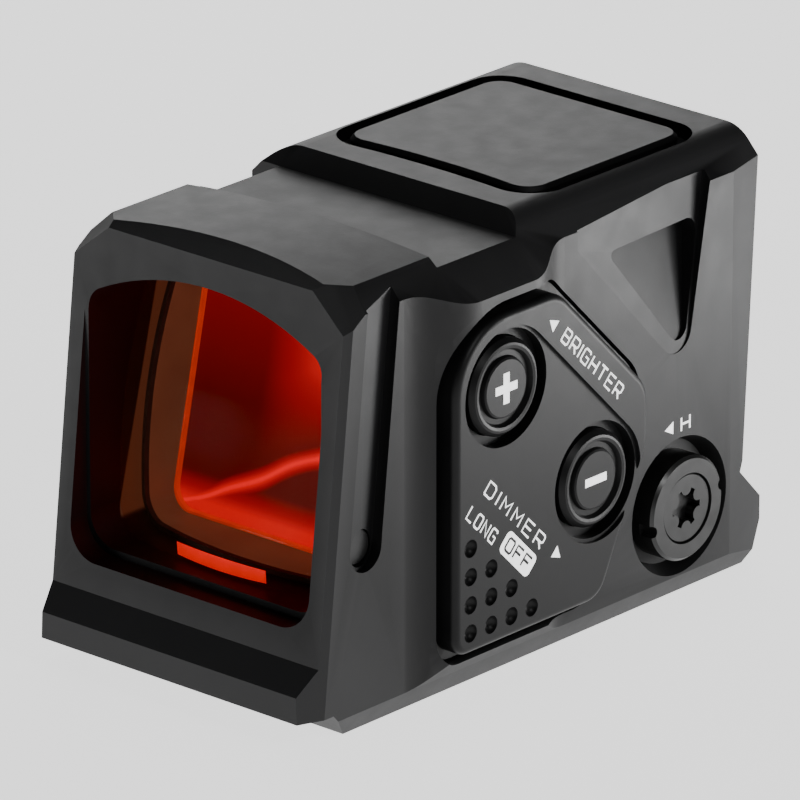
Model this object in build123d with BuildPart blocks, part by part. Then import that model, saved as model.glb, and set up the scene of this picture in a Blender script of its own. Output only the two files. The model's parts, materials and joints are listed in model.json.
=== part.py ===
"""Enclosed red dot finder: a squared tube with a collimating lens in front, a clear window
behind, an emitter on two small adjustment slides under the tube, a button pad on one side
and a coin cell under a snap-in cover on the roof. Millimetres throughout."""

import math
import os

from build123d import *

os.makedirs("parts", exist_ok=True)

# Frame: the bore looks along Y with the objective at -Y, +X is the button pad's side,
# +Z is up, and the origin lies on the flat underside.

# ---- driving dimensions: housing
SIDE_X = 14.6  # half width of the plain sides
BASE_INSET = 1.1  # how far the underside is narrower on each side
BASE_CHAMFER_H = 1.9
TOP_Z = 37.5
SHOULDER_DROP = 2.5  # height of the 45 degree shoulder below the roof
SHOULDER_ROUND = 3.4
LIP_Y = -27.64  # foremost line
TAIL_Y = 28.3  # rearmost line
BULGE_RISE = 1.7  # the side swells this far around the button pad
RAKE = 0.11  # lean of the objective face, in y per z

# ---- driving dimensions: optics
MOUTH_WALL = 1.8  # side wall beside the objective opening
MOUTH_FLOOR_Z = 9.2
TUBE_FLOOR_Z = 9.8
TUBE_WALL = 2.2  # side wall beside the lens cell
REAR_WALL = 3.7  # side wall beside the rear chamber
LENS_R = 42.0  # radius of the objective's outer face
LENS_THICK = 2.4
CELL_WALL = 0.5
GLASS_GAP = 0.05  # all round each bonded glass

# ---- driving dimensions: battery
CELL_R = 10.0  # coin cell
CELL_H = 3.2
COVER_MARGIN = 1.4  # the cover's recess beyond the coin cell on each side
COVER_FRONT_Y = 2.6
COVER_BOW = 0.7  # the front edge bows back this far in the middle
COVER_SEAT_DEPTH = 1.6
COVER_MOAT = 1.2  # ditch around the raised pad

# ---- driving dimensions: button pad
PAD_PROUD = 1.8  # face of the pad beyond the plain side
PAD_GAP = 1.0  # dark gap around the pad
POCKET_DEPTH = 1.2
BUTTON_R = 4.05
BUTTON_TRAVEL = 0.4
WELL_GAP = 0.85  # from the button to the wall of its well
STADIUM_GAP = 0.3  # from the well to the edge of the shallow panel around both
PLUS_YZ = (-5.6, 25.1)
MINUS_YZ = (5.3, 14.2)

# ---- driving dimensions: adjusters
ADJUST_Y = 17.5
ADJUST_Z = 8.0
RING_R = 4.45
HEAD_R = 2.95
SHAFT_R = 1.5
RUN = 0.05  # radial running clearance
ADJUST_TRAVEL = 0.5  # elevation wedge, each way
SHIFT_TRAVEL = 0.25  # emitter, each way on both slides

# ---- driving dimensions: base
BASE_PLATE_T = 2.0
BAY_HALF_X = 8.5
BAY_FRONT_Y = 9.0
BAY_REAR_Y = 23.4
BAY_ROOF_T = 0.9  # under the rear window; ahead of it the bay opens into the tube
BAY_MOUTH_REAR_Y = 20.9
BAY_MOUTH_HALF_X = 7.4
MOUNT_HOLE_R = 1.65
MOUNT_HOLE_DEPTH = 6.0
MOUNT_SPACING = 19.0
MOUNT_Y = -14.0

# ---- derived places
SHOULDER_SUM = SIDE_X + TOP_Z - SHOULDER_DROP
BULGE_X = SIDE_X + BULGE_RISE
PAD_X = SIDE_X + PAD_PROUD
POCKET_X = SIDE_X - POCKET_DEPTH
MOUTH_HALF = SIDE_X - MOUTH_WALL
TUBE_HALF = SIDE_X - TUBE_WALL
REAR_HALF = SIDE_X - REAR_WALL
WELL_R = BUTTON_R + WELL_GAP
COVER_HALF_X = CELL_R + COVER_MARGIN
COVER_REAR_Y = COVER_FRONT_Y + 2 * CELL_R + 2.0
BLOCK_WALL = 0.5  # over the screws in the wedge and the nut
BLOCK_TOP_Z = ADJUST_Z + SHAFT_R + BLOCK_WALL
SLIDE_ROOM = 0.15  # left over at either end of a slide's travel
CARRIAGE_Z = BLOCK_TOP_Z + SHIFT_TRAVEL + SLIDE_ROOM
CARRIAGE_T = 1.1
BAY_TOP_Z = CARRIAGE_Z + CARRIAGE_T + SHIFT_TRAVEL + SLIDE_ROOM
REAR_FLOOR_Z = BAY_TOP_Z + BAY_ROOF_T
NECK_Z = TOP_Z - 1.45
FACE_FOOT = (-25.7, 6.77)  # y, z where the objective face meets the lip
FACE_TOP_Z = TOP_Z - 0.9
ARCH_TOP_Z = TOP_Z - 2.9
ARCH_SIDE_Z = TOP_Z - 6.1
HOOD_FRONT_Y = -20.1
HOOD_REAR_Y = -11.2
NECK_REAR_Y = -1.6
COVER_SEAT_Z = TOP_Z - COVER_SEAT_DEPTH
BATTERY_TOP_Z = COVER_SEAT_Z - 0.1
BATTERY_Z = BATTERY_TOP_Z - CELL_H
BATTERY_FLOOR_Z = BATTERY_Z - 0.6
REAR_TOP_Z = BATTERY_FLOOR_Z - 1.4
COVER_MID_Y = (COVER_FRONT_Y + COVER_BOW + COVER_REAR_Y) / 2
CHAMBER_Y = -5.5  # where the tube narrows
MOUTH_REAR_Y = -23.2  # where the mouth steps in to the lens chamber


# ---- small features shared by several pieces
REAR_ROUND = 2.4
REAR_STEP = 0.7  # the rear window's recess is this much wider than the tube
REAR_SEAT_Y = 21.4
REAR_SEAL_T = 0.4
REAR_GLASS_T = 1.4
REAR_BEZEL_T = 0.9
BATTERY_WELL_R = CELL_R + 0.5
CLIP_IN_R = CELL_R + 0.05
CLIP_OUT_R = CELL_R + 0.3
CLIP_ARM = 8.0  # chord of each clip arm
CONTACT_NOTCH = 0.6
SEAL_DEPTH = 0.5
SEAL_INSET = 0.1
SEAL_W = 0.25
PLATE_HALF_X = BAY_HALF_X + 1.6
PLATE_FRONT_Y = BAY_FRONT_Y - 3.2
PLATE_REAR_Y = BAY_REAR_Y + 2.9
PLATE_MID_Y = (PLATE_FRONT_Y + PLATE_REAR_Y) / 2
PLATE_LENGTH = PLATE_REAR_Y - PLATE_FRONT_Y
PLATE_ROUND = 1.5
PLATE_SHANK_R = 0.8
PLATE_HEAD_R = 1.25
PLATE_SCREW_L = 3.2
PLATE_SCREWS = [
    (x, y)
    for x in (2.2 - BAY_HALF_X, BAY_HALF_X - 2.2)
    for y in (PLATE_FRONT_Y + 1.4, PLATE_REAR_Y - 1.35)
]
BAY_ROUND = 1.0
GASKET_T = 0.4
SPOTFACE_R = 5.9
SPOTFACE_DEPTH = 1.6
BARREL_R = 3.3
RING_PROUD = 0.9
HEAD_SINK = 0.15
LEAD_Y = BAY_FRONT_Y + 0.6
LEAD_Z = BAY_TOP_Z - 0.2
PURGE_R = 1.55
PURGE_DEPTH = 1.7


def rear_outline(grow):
    """Rounded rectangle of the rear chamber, grown by a margin."""
    with BuildSketch() as outline:
        with Locations((0, (REAR_FLOOR_Z + REAR_TOP_Z) / 2)):
            RectangleRounded(
                2 * (REAR_HALF + grow), REAR_TOP_Z - REAR_FLOOR_Z + 2 * grow, REAR_ROUND + grow
            )
    return outline.sketch


def face_y(z):
    """Depth of the raked objective face at a height."""
    return FACE_FOOT[0] + RAKE * (z - FACE_FOOT[1])


def side_plane(x):
    """Plane across X: its first direction is +Y and its second is +Z."""
    return Plane.YZ.offset(x)


def cross_plane(y):
    """Plane across the bore, facing -Y: its first direction is +X and its second is +Z."""
    return Plane.XZ.offset(-y)


def finish(piece, name):
    """Label a finished piece and write it."""
    piece.part.label = name
    export_step(piece.part, f"parts/{name}.step")


def arched(half, floor, side, apex, low_r, high_r):
    """Squared opening with a flat floor, straight sides and an arched roof."""
    with BuildSketch() as outline:
        with BuildLine():
            Polyline((-half, side), (-half, floor), (half, floor), (half, side))
            ThreePointArc((half, side), (0, apex), (-half, side))
        make_face()
        fillet(outline.vertices().group_by(Axis.Y)[0], low_r)
        fillet(outline.vertices().group_by(Axis.Y)[-1], high_r)
    return outline.sketch


def arched_in(shrink, floor_shrink=None):
    """The lens chamber's outline, drawn in by a margin."""
    low = shrink if floor_shrink is None else floor_shrink
    return arched(
        TUBE_HALF - shrink,
        TUBE_FLOOR_Z + low,
        ARCH_SIDE_Z - 0.4 - shrink,
        ARCH_TOP_Z - 0.4 - shrink,
        max(2.6 - shrink, 0.6),
        max(1.8 - shrink, 0.6),
    )


def cover_outline(inset):
    """Rounded square with a slightly bowed front edge, drawn in from the cover recess."""
    half = COVER_HALF_X - inset
    front = COVER_FRONT_Y + inset
    with BuildSketch() as outline:
        with BuildLine():
            rear = COVER_REAR_Y - inset
            Polyline((-half, front), (-half, rear), (half, rear), (half, front))
            ThreePointArc((half, front), (0, front + COVER_BOW), (-half, front))
        make_face()
        fillet(outline.vertices(), max(3.3 - inset, 0.8))
    return outline.sketch


PAD_LEFT = PLUS_YZ[0] - WELL_R - 1.4
PAD_RIGHT = MINUS_YZ[0] + WELL_R + 1.3
PAD_FOOT = 3.9
PAD_HEAD = PLUS_YZ[1] + WELL_R + 1.6
PAD_CORNERS = (
    (PAD_LEFT, PAD_FOOT),
    (PAD_RIGHT - 5.7, PAD_FOOT),
    (PAD_RIGHT, 15.6),
    (PAD_RIGHT, 20.6),
    (PAD_LEFT + 12.4, PAD_HEAD),
    (PAD_LEFT, PAD_HEAD),
)
PAD_ROUNDS = (1.6, 2.5, 3.0, 3.5, 3.5, 6.2)


def pad_outline(grow):
    """Six-sided outline of the button pad in Y and Z, grown by a margin."""
    with BuildSketch() as outline:
        with BuildLine():
            FilletPolyline(*PAD_CORNERS, radius=PAD_ROUNDS, close=True)
        make_face()
        if grow:
            offset(amount=grow, kind=Kind.ARC, mode=Mode.REPLACE)
    return outline.sketch


# ======================================================================== housing
# Cutters first: the raked side groove and the two triangular pockets have sloping floors.
GROOVE_NEAR_Y = -20.5  # at GROOVE_FOOT_Z, in the middle of the round end
GROOVE_FOOT_Z = 15.4
GROOVE_W = 3.7
GROOVE_DEEP = 1.0

with BuildPart() as groove_cut:
    with BuildSketch(side_plane(SIDE_X + 2)):
        lean = RAKE * (TOP_Z - GROOVE_FOOT_Z)
        with BuildLine():
            Polyline(
                (GROOVE_NEAR_Y + GROOVE_W / 2, GROOVE_FOOT_Z),
                (GROOVE_NEAR_Y + GROOVE_W / 2 + lean, TOP_Z),
                (GROOVE_NEAR_Y - GROOVE_W / 2 + lean, TOP_Z),
                (GROOVE_NEAR_Y - GROOVE_W / 2, GROOVE_FOOT_Z),
            )
            ThreePointArc(
                (GROOVE_NEAR_Y - GROOVE_W / 2, GROOVE_FOOT_Z),
                (GROOVE_NEAR_Y, GROOVE_FOOT_Z - GROOVE_W / 2),
                (GROOVE_NEAR_Y + GROOVE_W / 2, GROOVE_FOOT_Z),
            )
        make_face()
    extrude(amount=-8)
    floor_normal = Vector(-GROOVE_W, -(GROOVE_DEEP - 0.2), RAKE * (GROOVE_DEEP - 0.2))
    split(
        bisect_by=Plane(
            origin=(SIDE_X - 0.6, GROOVE_NEAR_Y, GROOVE_FOOT_Z), z_dir=floor_normal
        ),
        keep=Keep.BOTTOM,
    )

TRI_HEAD_Z = TOP_Z - 1.75
TRI_INNER_HEAD_Z = TOP_Z - 5.3
TRI_OUTER = ((4.7, TRI_HEAD_Z - 2.35), (4.7, TRI_HEAD_Z), (21.1, TRI_HEAD_Z), (18.1, 19.2))
TRI_OUTER_R = (0.0, 0.0, 0.0, 1.9)
TRI_INNER = ((8.4, TRI_INNER_HEAD_Z), (20.3, TRI_INNER_HEAD_Z), (18.0, 20.9))
TRI_INNER_R = (0.5, 1.2, 1.2)
TRI_OUTER_DEEP = 1.0
TRI_INNER_DEEP = 2.4


def triangle_cut(corners, rounds, start, deep):
    """Pocket in the side that starts flush on its front edge and deepens to the rear."""
    with BuildPart() as cut:
        with BuildSketch(side_plane(SIDE_X + 1)):
            with BuildLine():
                FilletPolyline(*corners, radius=rounds, close=True)
            make_face()
        extrude(amount=-6)
        first = Vector(SIDE_X - start, corners[0][0], corners[0][1])
        last = Vector(SIDE_X - start, corners[-1][0], corners[-1][1])
        far = Vector(SIDE_X - deep, corners[-2][0], corners[-2][1])
        normal = (last - first).cross(far - first)
        if normal.X > 0:
            normal = -normal
        split(bisect_by=Plane(origin=first, z_dir=normal), keep=Keep.BOTTOM)
    return cut.part


outer_triangle = triangle_cut(TRI_OUTER, TRI_OUTER_R, 0.02, TRI_OUTER_DEEP)
inner_triangle = triangle_cut(TRI_INNER, TRI_INNER_R, 0.25, TRI_INNER_DEEP)

CROWN_HALF = SIDE_X + 5.4  # the crown's arc runs out this far from the middle
CROWN_DROP = 1.75
with BuildPart() as crown_cut:
    with BuildSketch(cross_plane(HOOD_REAR_Y + 0.3)):
        with BuildLine():
            low = TOP_Z - CROWN_DROP
            clear = TOP_Z + 4
            Polyline((-CROWN_HALF, low), (-CROWN_HALF, clear), (CROWN_HALF, clear), (CROWN_HALF, low))
            ThreePointArc((CROWN_HALF, low), (0, TOP_Z), (-CROWN_HALF, low))
        make_face()
    extrude(amount=30)

with BuildPart() as housing:
    # section across the bore, with the swelling included
    with BuildSketch(cross_plane(TAIL_Y + 1)):
        with BuildLine():
            Polyline(
                (SIDE_X - BASE_INSET, 0),
                (SIDE_X, BASE_CHAMFER_H),
                (BULGE_X, BASE_CHAMFER_H + BULGE_RISE * 1.35),
                (BULGE_X, SHOULDER_SUM - BULGE_X),
                (SHOULDER_SUM - TOP_Z, TOP_Z),
                (TOP_Z - SHOULDER_SUM, TOP_Z),
                (-SIDE_X, SHOULDER_SUM - SIDE_X),
                (-SIDE_X, BASE_CHAMFER_H),
                (BASE_INSET - SIDE_X, 0),
                close=True,
            )
        section_face = make_face()
        fillet(section_face.vertices().group_by(Axis.Y)[-1], SHOULDER_ROUND)
    extrude(amount=TAIL_Y - LIP_Y + 2)
    # side profile
    with BuildSketch(side_plane(-20)):
        with BuildLine():
            Polyline(
                (-22.0, 0),
                (-24.3, 2.5),
                (LIP_Y, 2.53),
                (LIP_Y, 4.79),
                FACE_FOOT,
                (face_y(FACE_TOP_Z), FACE_TOP_Z),
                (HOOD_FRONT_Y, TOP_Z),
                (HOOD_REAR_Y, TOP_Z),
                (HOOD_REAR_Y + 0.25, NECK_Z),
                (NECK_REAR_Y, NECK_Z),
                (0.2, TOP_Z),
                (TAIL_Y - 0.73, TOP_Z),
                (TAIL_Y - 2.6, 9.5),
                (TAIL_Y - 2.95, 8.6),
                (TAIL_Y, 5.65),
                (TAIL_Y, 3.6),
                (TAIL_Y - 1.5, 0),
                close=True,
            )
        make_face()
    extrude(amount=40, mode=Mode.INTERSECT)
    # plan, with the S-shaped swelling and the slightly drawn-in tail
    with BuildSketch(Plane.XY.offset(-1)):
        with BuildLine():
            Polyline((SIDE_X, 3.1), (SIDE_X, 23.9), (SIDE_X - 0.6, TAIL_Y + 1))
            Polyline(
                (SIDE_X - 0.6, TAIL_Y + 1),
                (0.6 - SIDE_X, TAIL_Y + 1),
                (-SIDE_X, 23.9),
                (-SIDE_X, LIP_Y - 1),
                (SIDE_X, LIP_Y - 1),
                (SIDE_X, -16.0),
            )
            Spline((SIDE_X, -16.0), (BULGE_X, -8.7), tangents=((0, 1), (0, 1)))
            Line((BULGE_X, -8.7), (BULGE_X, -2.4))
            Spline((BULGE_X, -2.4), (SIDE_X, 3.1), tangents=((0, 1), (0, 1)))
        make_face()
    extrude(amount=TOP_Z + 2, mode=Mode.INTERSECT)
    add(crown_cut.part, mode=Mode.SUBTRACT)
    # bevels of the objective end: raked side edges and the two upper corners
    for hand in (1, -1):
        edge = Plane(
            origin=(hand * (SIDE_X - 0.3), face_y(0), 0),
            z_dir=Vector(0.8 * hand, -0.3, 0.3 * RAKE),
        )
        split(bisect_by=edge, keep=Keep.BOTTOM)
        low = Vector(hand * (SIDE_X - 0.3), face_y(TOP_Z - 3.75), TOP_Z - 3.75)
        high = Vector(hand * (SIDE_X - 3.1), face_y(TOP_Z - 1.45), TOP_Z - 1.45)
        back = Vector(hand * SIDE_X, HOOD_FRONT_Y - 0.4, SHOULDER_SUM - SIDE_X)
        corner_normal = (high - low).cross(back - low)
        if corner_normal.Z < 0:
            corner_normal = -corner_normal
        split(bisect_by=Plane(origin=low, z_dir=corner_normal), keep=Keep.BOTTOM)
    # scallop in the left shoulder of the neck
    with BuildSketch(cross_plane(NECK_REAR_Y)):
        with BuildLine():
            Polyline(
                (-SIDE_X - 1, SHOULDER_SUM - SIDE_X - 4.2),
                (-SIDE_X - 1, TOP_Z + 1),
                (TOP_Z - SHOULDER_SUM + 1.1, TOP_Z + 1),
                (3.0 - SIDE_X, NECK_Z),
                close=True,
            )
        make_face()
    extrude(amount=NECK_REAR_Y - HOOD_REAR_Y, mode=Mode.SUBTRACT)
    # mouth, lens chamber, rear chamber
    with BuildSketch(cross_plane(MOUTH_REAR_Y)):
        add(arched(MOUTH_HALF, MOUTH_FLOOR_Z, ARCH_SIDE_Z, ARCH_TOP_Z, 2.9, 1.9))
    extrude(amount=8, mode=Mode.SUBTRACT)
    with BuildSketch(cross_plane(CHAMBER_Y)):
        add(arched_in(0))
    extrude(amount=18, mode=Mode.SUBTRACT)
    with BuildSketch(cross_plane(TAIL_Y + 1)):
        add(rear_outline(0))
    extrude(amount=TAIL_Y + 2 - CHAMBER_Y, mode=Mode.SUBTRACT)
    # button pad pocket, side groove, triangular pockets
    with BuildSketch(side_plane(POCKET_X)):
        add(pad_outline(PAD_GAP))
    extrude(amount=5, mode=Mode.SUBTRACT)
    add(groove_cut.part, mode=Mode.SUBTRACT)
    add(outer_triangle, mode=Mode.SUBTRACT)
    add(inner_triangle, mode=Mode.SUBTRACT)
    # seat of the rear window
    with BuildSketch(cross_plane(TAIL_Y + 1)):
        add(rear_outline(REAR_STEP))
    extrude(amount=TAIL_Y + 1 - REAR_SEAT_Y, mode=Mode.SUBTRACT)
    # battery well under the cover recess
    with BuildSketch(Plane.XY.offset(COVER_SEAT_Z)):
        add(cover_outline(0))
    extrude(amount=COVER_SEAT_DEPTH + 1, mode=Mode.SUBTRACT)
    with BuildSketch(Plane.XY.offset(BATTERY_FLOOR_Z)):
        with Locations((0, COVER_MID_Y)):
            Circle(BATTERY_WELL_R)
        with Locations((-BATTERY_WELL_R, COVER_MID_Y)):
            Rectangle(2 * CONTACT_NOTCH, 3.0)
    extrude(amount=COVER_SEAT_Z - BATTERY_FLOOR_Z, mode=Mode.SUBTRACT)
    with BuildSketch(Plane.XY.offset(COVER_SEAT_Z - SEAL_DEPTH)):
        add(cover_outline(SEAL_INSET))
        add(cover_outline(SEAL_INSET + SEAL_W), mode=Mode.SUBTRACT)
    extrude(amount=SEAL_DEPTH, mode=Mode.SUBTRACT)
    # bay for the emitter slides, closed below by the base plate
    with BuildSketch(Plane.XY.offset(-1)):
        with Locations((0, PLATE_MID_Y)):
            RectangleRounded(2 * PLATE_HALF_X, PLATE_LENGTH, PLATE_ROUND)
    extrude(amount=BASE_PLATE_T + 1, mode=Mode.SUBTRACT)
    with BuildSketch(Plane.XY.offset(BASE_PLATE_T)):
        with Locations((0, (BAY_FRONT_Y + BAY_REAR_Y) / 2)):
            RectangleRounded(2 * BAY_HALF_X, BAY_REAR_Y - BAY_FRONT_Y, BAY_ROUND)
    extrude(amount=BAY_TOP_Z - BASE_PLATE_T, mode=Mode.SUBTRACT)
    with BuildSketch(Plane.XY.offset(BAY_TOP_Z - 0.5)):
        with Locations((0, (BAY_FRONT_Y + BAY_MOUTH_REAR_Y) / 2)):
            RectangleRounded(2 * BAY_MOUTH_HALF_X, BAY_MOUTH_REAR_Y - BAY_FRONT_Y, BAY_ROUND)
    extrude(amount=REAR_FLOOR_Z - BAY_TOP_Z + 1, mode=Mode.SUBTRACT)
    with BuildSketch(Plane.XY.offset(BASE_PLATE_T)):
        with Locations((0, (BAY_FRONT_Y + BAY_REAR_Y) / 2)):
            RectangleRounded(2 * BAY_HALF_X + 1.4, BAY_REAR_Y - BAY_FRONT_Y + 1.4, 1.5)
    extrude(amount=GASKET_T, mode=Mode.SUBTRACT)
    with BuildSketch(Plane.XY.offset(BASE_PLATE_T)):
        with Locations(*PLATE_SCREWS):
            Circle(PLATE_SHANK_R + 0.02)
    extrude(amount=PLATE_SCREW_L, mode=Mode.SUBTRACT)
    # seats of the two adjusters
    for hand in (1, -1):
        with BuildSketch(side_plane(hand * SIDE_X)):
            with Locations((ADJUST_Y, ADJUST_Z)):
                Circle(SPOTFACE_R)
        extrude(amount=-hand * SPOTFACE_DEPTH, taper=22, mode=Mode.SUBTRACT)
        with BuildSketch(side_plane(hand * (SIDE_X - SPOTFACE_DEPTH + 0.2))):
            with Locations((ADJUST_Y, ADJUST_Z)):
                Circle(BARREL_R + 0.02)
        bore_l = SIDE_X - SPOTFACE_DEPTH - BAY_HALF_X + 0.7
        extrude(amount=-hand * bore_l, mode=Mode.SUBTRACT)
    # passage for the flexible lead, and the plugged purge hole
    with BuildSketch(side_plane(BAY_HALF_X - 1)):
        with Locations((LEAD_Y, LEAD_Z)):
            Rectangle(1.1, 1.4)
    extrude(amount=POCKET_X - BAY_HALF_X + 1, mode=Mode.SUBTRACT)
    with BuildSketch(side_plane(SIDE_X + 0.5)):
        with Locations((GROOVE_NEAR_Y, GROOVE_FOOT_Z)):
            Circle(PURGE_R)
    extrude(amount=-(PURGE_DEPTH + 0.5), mode=Mode.SUBTRACT)
    # threaded mounting holes
    with BuildSketch(Plane.XY):
        with Locations((-MOUNT_SPACING / 2, MOUNT_Y), (MOUNT_SPACING / 2, MOUNT_Y)):
            Circle(MOUNT_HOLE_R)
    extrude(amount=MOUNT_HOLE_DEPTH, mode=Mode.SUBTRACT)

finish(housing, "housing")

# ======================================================================== optics
LENS_DROP = 20.6  # from the crown of the arch down to the objective's optical axis
LENS_MID_Z = ARCH_TOP_Z - LENS_DROP
LENS_FRONT_Y = face_y(LENS_MID_Z) + 3.2
LENS_CENTRE = (0, LENS_FRONT_Y + LENS_R, LENS_MID_Z)
SEAL_T = 0.5
TILT = 0.22  # lean of the collimator, in y per z
RIM_T = 0.5
RIM_W = 0.18
COLLIMATOR_T = 2.2
CELL_IN = CELL_WALL + GLASS_GAP


def tilted_plane(back):
    """Plane parallel to the collimator's face, a distance behind its rim."""
    return Plane(origin=(0, -14.0, 12.35), x_dir=(1, 0, 0), z_dir=(0, -1, TILT)).offset(-back)


def lens_ball(radius):
    """Ball centred on the objective's centre of curvature."""
    return Pos(*LENS_CENTRE) * Sphere(radius, mode=Mode.PRIVATE)


with BuildPart() as front_lens:
    with BuildSketch(cross_plane(CHAMBER_Y)):
        add(arched_in(GLASS_GAP))
    extrude(amount=CHAMBER_Y - MOUTH_REAR_Y)
    add(lens_ball(LENS_R), mode=Mode.INTERSECT)
    add(lens_ball(LENS_R - LENS_THICK), mode=Mode.SUBTRACT)
finish(front_lens, "front_lens")

with BuildPart() as front_lens_seal:
    with BuildSketch(cross_plane(CHAMBER_Y)):
        add(arched_in(GLASS_GAP))
        add(arched_in(CELL_IN), mode=Mode.SUBTRACT)
    extrude(amount=CHAMBER_Y - MOUTH_REAR_Y)
    add(lens_ball(LENS_R - LENS_THICK - 0.02), mode=Mode.INTERSECT)
    add(lens_ball(LENS_R - LENS_THICK - SEAL_T), mode=Mode.SUBTRACT)
finish(front_lens_seal, "front_lens_seal")

with BuildPart() as lens_cell:
    with BuildSketch(cross_plane(CHAMBER_Y)):
        add(arched_in(GLASS_GAP))
        add(arched_in(CELL_IN), mode=Mode.SUBTRACT)
    extrude(amount=CHAMBER_Y - MOUTH_REAR_Y)
    add(lens_ball(LENS_R - LENS_THICK - SEAL_T - 0.02), mode=Mode.INTERSECT)
    split(bisect_by=tilted_plane(-0.01), keep=Keep.TOP)
finish(lens_cell, "lens_cell")

with BuildPart() as collimator_rim:
    with BuildSketch(cross_plane(CHAMBER_Y)):
        add(arched_in(GLASS_GAP))
        add(arched_in(CELL_IN + RIM_W), mode=Mode.SUBTRACT)
    extrude(amount=CHAMBER_Y - MOUTH_REAR_Y)
    split(bisect_by=tilted_plane(0), keep=Keep.BOTTOM)
    split(bisect_by=tilted_plane(RIM_T), keep=Keep.TOP)
finish(collimator_rim, "collimator_rim")

with BuildPart() as collimator_lens:
    with BuildSketch(cross_plane(CHAMBER_Y)):
        add(arched_in(2 * GLASS_GAP))
    extrude(amount=CHAMBER_Y - MOUTH_REAR_Y)
    split(bisect_by=tilted_plane(RIM_T + 0.01), keep=Keep.BOTTOM)
    split(bisect_by=tilted_plane(RIM_T + COLLIMATOR_T), keep=Keep.TOP)
finish(collimator_lens, "collimator_lens")

with BuildPart() as collimator_retainer:
    with BuildSketch(cross_plane(CHAMBER_Y - 0.01)):
        add(arched_in(GLASS_GAP))
        add(rear_outline(0.3), mode=Mode.SUBTRACT)
    extrude(amount=CHAMBER_Y - MOUTH_REAR_Y)
    split(bisect_by=tilted_plane(RIM_T + COLLIMATOR_T + 0.02), keep=Keep.BOTTOM)
finish(collimator_retainer, "collimator_retainer")


def rear_frame(start, thick, grow_out, grow_in=None):
    """Plate or frame across the rear window's seat."""
    with BuildPart() as plate:
        with BuildSketch(cross_plane(start + thick)):
            add(rear_outline(grow_out))
            if grow_in is not None:
                add(rear_outline(grow_in), mode=Mode.SUBTRACT)
        extrude(amount=thick)
    return plate


REAR_FIT = REAR_STEP - GLASS_GAP
REAR_GLASS_Y = REAR_SEAT_Y + REAR_SEAL_T
REAR_BEZEL_Y = REAR_GLASS_Y + REAR_GLASS_T
rear_window_seal = rear_frame(REAR_SEAT_Y, REAR_SEAL_T, REAR_FIT, 0.05)
finish(rear_window_seal, "rear_window_seal")
rear_window = rear_frame(REAR_GLASS_Y, REAR_GLASS_T, REAR_FIT)
finish(rear_window, "rear_window")
rear_window_bezel = rear_frame(REAR_BEZEL_Y, REAR_BEZEL_T, REAR_FIT, -0.2)
finish(rear_window_bezel, "rear_window_bezel")

# ======================================================================== button pad
BOARD_T = 0.5
DOME_R = 2.2
DOME_T = 0.3
MEMBRANE_T = 0.4
MEMBRANE_GROW = 0.8
PAD_BACK_X = POCKET_X + BOARD_T + MEMBRANE_T
STADIUM_R = WELL_R + STADIUM_GAP
STADIUM_DEPTH = 0.35
WELL_DEPTH = 1.4
BUTTON_PROUD = -0.25  # collar below the pad's face
BUTTON_BACK_X = POCKET_X + BOARD_T + DOME_T + BUTTON_TRAVEL + 0.05
COLLAR_IN_R = BUTTON_R - 1.0
DISC_R = BUTTON_R - 1.55
DIMPLE_R = 0.72
DIMPLE_START = (-10.1, 5.7)
DIMPLE_PITCH = (2.45, 2.4)
DIMPLE_ROWS = 4
BUTTONS = (PLUS_YZ, MINUS_YZ)

with BuildPart() as switch_board:
    with BuildSketch(side_plane(POCKET_X)):
        add(pad_outline(PAD_GAP - 0.6))
    extrude(amount=BOARD_T)
finish(switch_board, "switch_board")

with BuildPart() as dome_switches:
    with BuildSketch(side_plane(POCKET_X + BOARD_T)):
        with Locations(*BUTTONS):
            Circle(DOME_R)
    extrude(amount=DOME_T)
    chamfer(dome_switches.faces().group_by(Axis.X)[-1].edges(), 0.15)
finish(dome_switches, "dome_switches")

with BuildPart() as keypad_membrane:
    with BuildSketch(side_plane(POCKET_X + BOARD_T)):
        add(pad_outline(MEMBRANE_GROW))
        with Locations(*BUTTONS):
            Circle(BUTTON_R + 0.5, mode=Mode.SUBTRACT)
    extrude(amount=MEMBRANE_T)
finish(keypad_membrane, "keypad_membrane")

with BuildPart() as keypad_cover:
    with BuildSketch(side_plane(PAD_BACK_X)):
        add(pad_outline(0))
    extrude(amount=PAD_X - PAD_BACK_X)
    fillet(keypad_cover.faces().sort_by(Axis.X)[-1].edges(), 0.6)
    with BuildSketch(side_plane(PAD_X - STADIUM_DEPTH)):
        middle = ((PLUS_YZ[0] + MINUS_YZ[0]) / 2, (PLUS_YZ[1] + MINUS_YZ[1]) / 2)
        with Locations(middle):
            SlotCenterToCenter(math.dist(PLUS_YZ, MINUS_YZ), 2 * STADIUM_R, rotation=-45)
    extrude(amount=2, mode=Mode.SUBTRACT)
    with BuildSketch(side_plane(PAD_X - WELL_DEPTH)):
        with Locations(*BUTTONS):
            Circle(WELL_R)
    extrude(amount=3, mode=Mode.SUBTRACT)
    with BuildSketch(side_plane(PAD_BACK_X - 1)):
        with Locations(*BUTTONS):
            Circle(BUTTON_R + 2 * RUN)
    extrude(amount=4, mode=Mode.SUBTRACT)
    for column in range(DIMPLE_ROWS):
        for row in range(DIMPLE_ROWS - column):
            y = DIMPLE_START[0] + column * DIMPLE_PITCH[0]
            z = DIMPLE_START[1] + row * DIMPLE_PITCH[1]
            with Locations((PAD_X + 0.15, y, z)):
                Sphere(DIMPLE_R + 0.05, mode=Mode.SUBTRACT)
finish(keypad_cover, "keypad_cover")


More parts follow.
